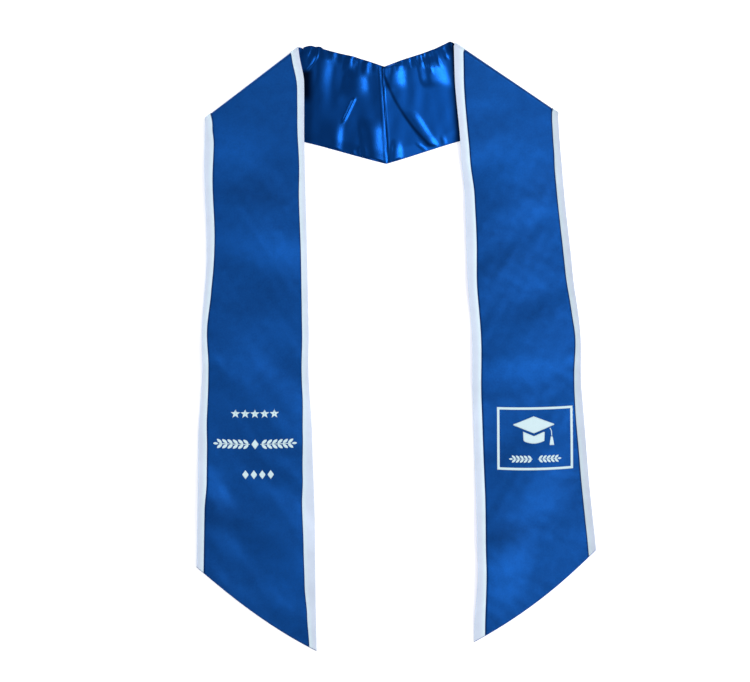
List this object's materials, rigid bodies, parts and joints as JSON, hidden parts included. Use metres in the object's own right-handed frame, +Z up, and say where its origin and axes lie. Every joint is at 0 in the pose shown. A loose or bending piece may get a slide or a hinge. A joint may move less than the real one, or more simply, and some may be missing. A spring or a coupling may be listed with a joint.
{
  "type": "graduation stole",
  "caption": "Long satin stole laid flat: front panels with white trim folded over at the shoulders, slanted hems, and a V-shaped neck band with gathered lining.",
  "frame": {"origin": "on the ground under the middle of the stole's bounding box", "axes": "+Z up from the surface that the stole lies on, +Y towards the neck band, the hems towards -Y, and +X to the right as the picture shows it"},
  "size_m": [0.4992, 0.7596, 0.0101],
  "materials": {
    "face_satin": "matte satin",
    "lining_satin": "bright satin",
    "trim_satin": "satin"
  },
  "bodies": {
    "root": {"left_neck_face": "face_satin", "left_neck_inner_trim": "trim_satin", "left_neck_outer_trim": "trim_satin", "left_neck_lining": "lining_satin", "left_shoulder_inner_trim": "trim_satin", "left_shoulder_outer_trim": "trim_satin", "left_panel_face": "face_satin", "left_panel_inner_trim": "trim_satin", "left_panel_outer_trim": "trim_satin", "left_panel_lining": "lining_satin", "right_neck_face": "face_satin", "right_neck_inner_trim": "trim_satin", "right_neck_outer_trim": "trim_satin", "right_neck_lining": "lining_satin", "right_shoulder_inner_trim": "trim_satin", "right_shoulder_outer_trim": "trim_satin", "right_panel_face": "face_satin", "right_panel_inner_trim": "trim_satin", "right_panel_outer_trim": "trim_satin", "right_panel_lining": "lining_satin"}
  },
  "joints": []
}
